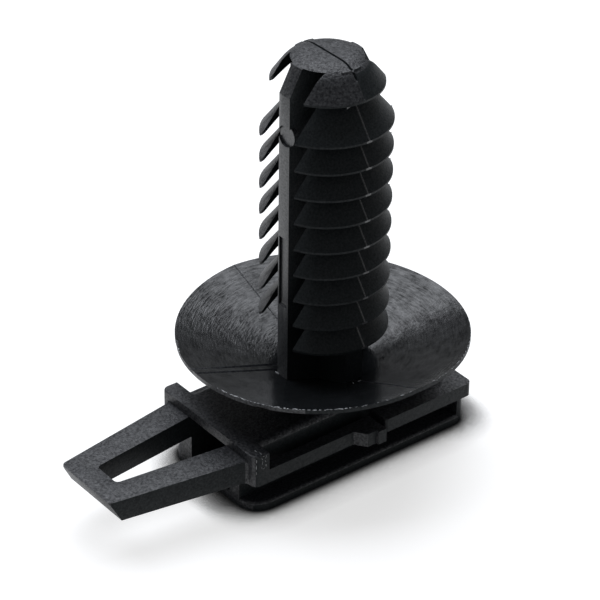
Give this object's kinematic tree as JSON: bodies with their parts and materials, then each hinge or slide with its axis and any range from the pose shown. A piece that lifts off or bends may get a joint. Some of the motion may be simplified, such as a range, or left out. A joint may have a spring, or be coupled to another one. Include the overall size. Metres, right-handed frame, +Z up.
{
  "type": "fir tree connector clip",
  "caption": "Moulded clip with a barbed fir tree that snaps into a panel hole, a flexible disc, and a grooved base with a latching tongue that a connector slides onto.",
  "frame": {"origin": "underside of the foot, on the axis of the tree", "axes": "+Z up the tree, towards its cap; -X towards the tip of the tongue; Y across the rails"},
  "size_m": [0.0269, 0.0182, 0.0269],
  "materials": {
    "clip": "black moulded polyamide with a fine spark texture on the upper faces and a smoother disc"
  },
  "bodies": {
    "root": {"clip": "clip"}
  },
  "joints": []
}
